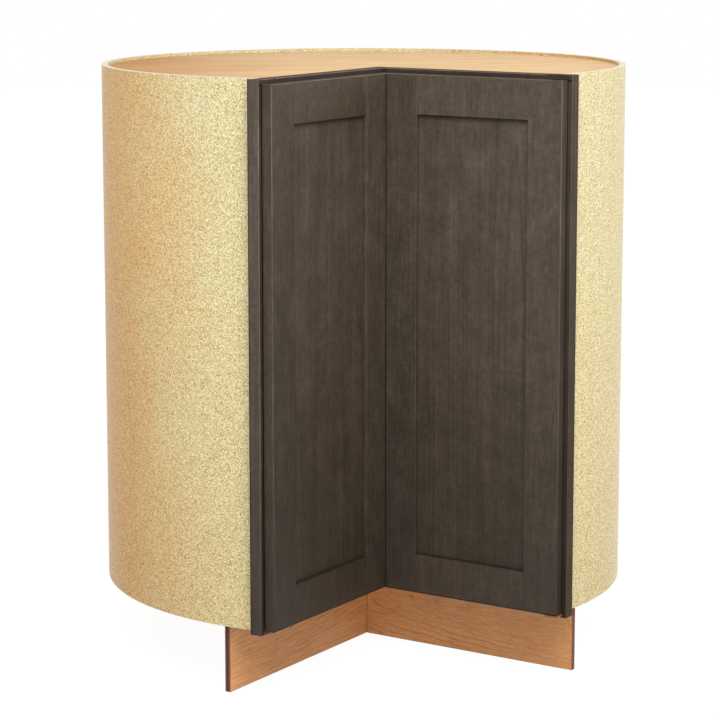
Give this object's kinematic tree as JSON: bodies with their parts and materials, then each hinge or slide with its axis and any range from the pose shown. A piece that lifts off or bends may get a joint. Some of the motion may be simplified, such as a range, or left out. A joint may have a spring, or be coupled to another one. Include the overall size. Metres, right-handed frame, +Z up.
{
  "type": "corner carousel cabinet",
  "caption": "Round-bodied corner base cabinet with a notched front: hinged panelled doors fold away from a turning carousel of pie-cut shelves.",
  "frame": {"origin": "middle of the footprint on the floor", "axes": "+Z up; the left door faces +X and the right door faces -Y, so the walls of the room run along +Y and -X"},
  "size_m": [0.7962, 0.7962, 0.8763],
  "materials": {
    "particleboard": "raw speckled particleboard",
    "maple": "clear-coated maple veneer",
    "toe_veneer": "unfinished warm maple veneer",
    "plywood": "raw plywood",
    "dark_stain": "dark taupe stain, satin",
    "steel": "zinc-plated steel",
    "bronze": "dark bronze",
    "pale_plastic": "moulded, matt",
    "dark_plastic": "moulded, matt",
    "felt": "pressed felt"
  },
  "bodies": {
    "cabinet": {"barrel_skin": "particleboard", "bottom_bearing": "steel", "bottom_corner_block": "plywood", "bottom_panel": "maple", "bottom_pivot_plate": "bronze", "bottom_rail_left": "dark_stain", "bottom_rail_right": "dark_stain", "left_skin_cleat": "plywood", "left_stile": "dark_stain", "magnet_catch": "dark_plastic", "rear_runner_back": "plywood", "rear_runner_side": "plywood", "right_skin_cleat": "plywood", "right_stile": "dark_stain", "thrust_washer": "pale_plastic", "toe_kick_left": "toe_veneer", "toe_kick_right": "toe_veneer", "top_bearing": "steel", "top_corner_block": "plywood", "top_panel": "maple", "top_pivot_plate": "bronze", "top_rail_left": "dark_stain", "top_rail_right": "dark_stain"},
    "right_door": {"bottom_pivot_bush": "bronze", "lower_fold_hinge_pin": "steel", "lower_fold_hinge_right_leaf": "bronze", "right_door_bottom_rail": "dark_stain", "right_door_corner_stile": "dark_stain", "right_door_outer_stile": "dark_stain", "right_door_panel": "dark_stain", "right_door_top_rail": "dark_stain", "top_pivot_bush": "bronze", "upper_fold_hinge_pin": "steel", "upper_fold_hinge_right_leaf": "bronze"},
    "left_door": {"bottom_bumper": "felt", "left_door_bottom_rail": "dark_stain", "left_door_corner_stile": "dark_stain", "left_door_outer_stile": "dark_stain", "left_door_panel": "dark_stain", "left_door_top_rail": "dark_stain", "lower_fold_hinge_left_leaf": "bronze", "strike_plate": "steel", "top_bumper": "felt", "upper_fold_hinge_left_leaf": "bronze"},
    "carousel": {"height_collar": "steel", "lower_hub": "pale_plastic", "lower_hub_screw": "steel", "lower_shaft": "steel", "lower_shelf": "maple", "lower_shelf_left_fence": "maple", "lower_shelf_right_fence": "maple", "lower_shelf_rim": "maple", "upper_hub": "pale_plastic", "upper_hub_screw": "steel", "upper_shaft": "steel", "upper_shelf": "maple", "upper_shelf_left_fence": "maple", "upper_shelf_right_fence": "maple", "upper_shelf_rim": "maple"}
  },
  "joints": [
    {"name": "right_door_swing", "type": "hinge", "parent": "cabinet", "child": "right_door", "pos_m": [0.38672, -0.09995, 0.489], "axis": [0, 0, 1], "range_deg": [0, 160]},
    {"name": "left_door_fold", "type": "hinge", "parent": "right_door", "child": "left_door", "pos_m": [0.08525, -0.10415, 0.489], "axis": [0, 0, 1], "range_deg": [-60, 0]},
    {"name": "carousel_spin", "type": "hinge", "parent": "cabinet", "child": "carousel", "pos_m": [-0.00695, 0.00695, 0.489], "axis": [0, 0, 1], "continuous": true}
  ],
  "couplings": [
    {"joint": "left_door_fold", "follows": "right_door_swing", "ratio": -0.375},
    {"joint": "carousel_spin", "follows": "right_door_swing", "ratio": 0.375}
  ]
}
